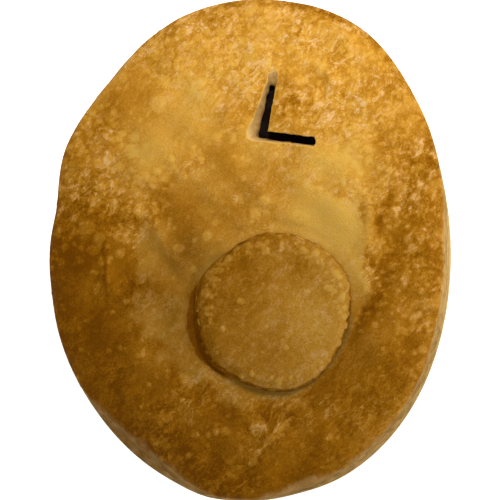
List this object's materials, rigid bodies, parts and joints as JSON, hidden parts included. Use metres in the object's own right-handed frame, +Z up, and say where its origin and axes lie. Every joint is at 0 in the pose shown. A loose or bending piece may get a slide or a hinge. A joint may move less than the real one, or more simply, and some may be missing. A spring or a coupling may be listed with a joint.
{
  "type": "steak and onion pie",
  "caption": "Uncut oval savoury pie: pastry case, dark meat filling, puffed golden lid with an angled steam vent, and a pastry round baked onto the sunken middle.",
  "frame": {"origin": "on the table, under the middle of the pie", "axes": "+Z up out of the lid, +Y along the pie's length towards the vent, +X across the pie"},
  "size_m": [0.1005, 0.1259, 0.034],
  "materials": {
    "case_pastry": "baked shortcrust, matte golden brown",
    "filling": "dark brown gravy, glossy",
    "lid_pastry": "baked puff pastry, glazed golden brown, satin",
    "round_pastry": "baked puff pastry, glazed golden brown, satin"
  },
  "bodies": {
    "root": {"case": "case_pastry", "filling": "filling", "lid": "lid_pastry", "pastry_round": "round_pastry"}
  },
  "joints": []
}
